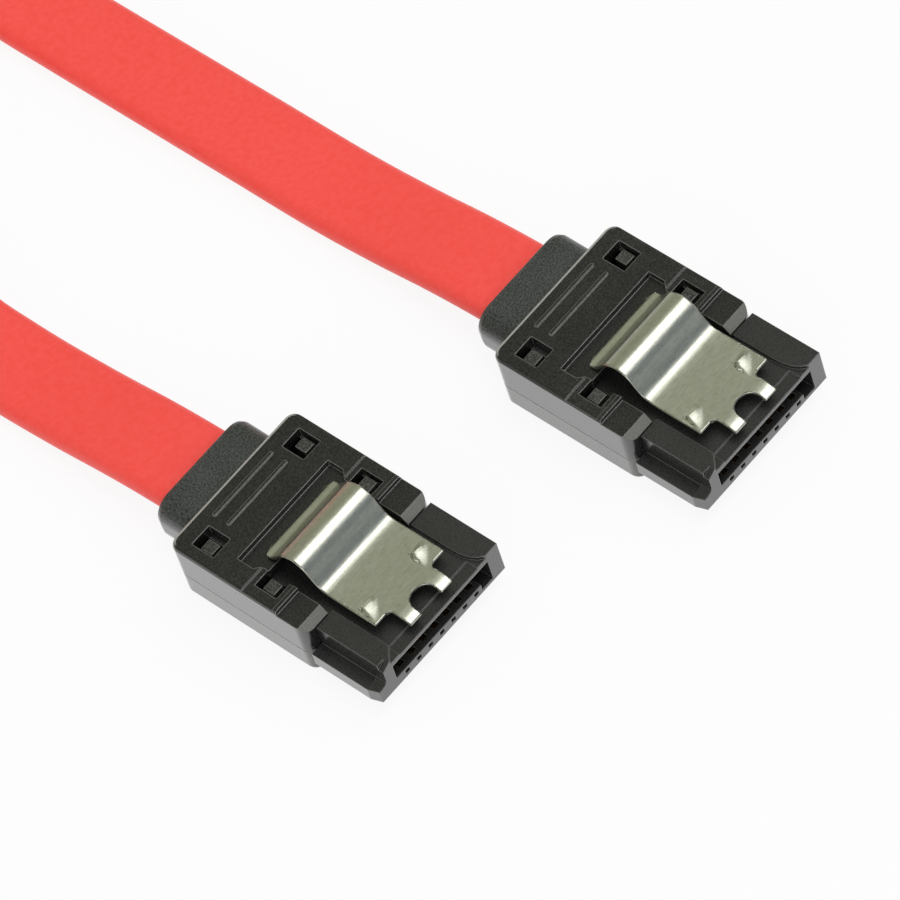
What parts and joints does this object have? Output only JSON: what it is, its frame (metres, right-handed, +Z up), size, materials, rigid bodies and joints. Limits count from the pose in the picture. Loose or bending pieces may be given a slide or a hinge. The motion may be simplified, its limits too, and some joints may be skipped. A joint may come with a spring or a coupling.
{
  "type": "sata data cable",
  "caption": "Flat red data cable with a straight black plug on each end: an L-slot nose, a snap shell and a pressed metal latch spring",
  "frame": {"origin": "on the surface that the cable lies on, under the middle of the box round both plugs", "axes": "+Z up, +Y from the plugs' mating faces towards the cable, +X across the contacts"},
  "size_m": [0.0866, 0.1624, 0.0096],
  "materials": {
    "moulded_black": "fine moulded texture",
    "nose_black": "smooth satin",
    "relief_black": "matt",
    "spring_steel": "polished, rolled",
    "gold_plate": "gold plated",
    "white_insulation": "satin",
    "tinned_copper": "bare tinned wire",
    "red_jacket": "satin",
    "black_tie": "woven strap"
  },
  "bodies": {
    "cable": {"nose_a": "nose_black", "upper_shell_a": "moulded_black", "lower_shell_a": "moulded_black", "strain_relief_a": "relief_black", "contact_a_1": "gold_plate", "drain_wire_a_1": "tinned_copper", "contact_a_2": "gold_plate", "core_wire_a_2": "white_insulation", "contact_a_3": "gold_plate", "core_wire_a_3": "white_insulation", "contact_a_4": "gold_plate", "drain_wire_a_4": "tinned_copper", "contact_a_5": "gold_plate", "core_wire_a_5": "white_insulation", "contact_a_6": "gold_plate", "core_wire_a_6": "white_insulation", "contact_a_7": "gold_plate", "drain_wire_a_7": "tinned_copper", "nose_b": "nose_black", "upper_shell_b": "moulded_black", "lower_shell_b": "moulded_black", "strain_relief_b": "relief_black", "contact_b_1": "gold_plate", "drain_wire_b_1": "tinned_copper", "contact_b_2": "gold_plate", "core_wire_b_2": "white_insulation", "contact_b_3": "gold_plate", "core_wire_b_3": "white_insulation", "contact_b_4": "gold_plate", "drain_wire_b_4": "tinned_copper", "contact_b_5": "gold_plate", "core_wire_b_5": "white_insulation", "contact_b_6": "gold_plate", "core_wire_b_6": "white_insulation", "contact_b_7": "gold_plate", "drain_wire_b_7": "tinned_copper", "cable_leg_a": "red_jacket", "cable_leg_b": "red_jacket", "cable_coil": "red_jacket", "cable_tie": "black_tie"},
    "latch_a": {"latch_spring_a": "spring_steel"},
    "latch_b": {"latch_spring_b": "spring_steel"}
  },
  "joints": [
    {"name": "latch_press_a", "type": "hinge", "parent": "cable", "child": "latch_a", "pos_m": [-0.01245, 0.0057, 0.00547], "axis": [1, 0, 0], "range_deg": [0, 1.5], "stiffness_Nm_per_rad": 0.05, "springref_deg": -1.15},
    {"name": "latch_press_b", "type": "hinge", "parent": "cable", "child": "latch_b", "pos_m": [0.01295, -0.0035, 0.00547], "axis": [1, 0, 0], "range_deg": [0, 1.5], "stiffness_Nm_per_rad": 0.05, "springref_deg": -1.15}
  ]
}
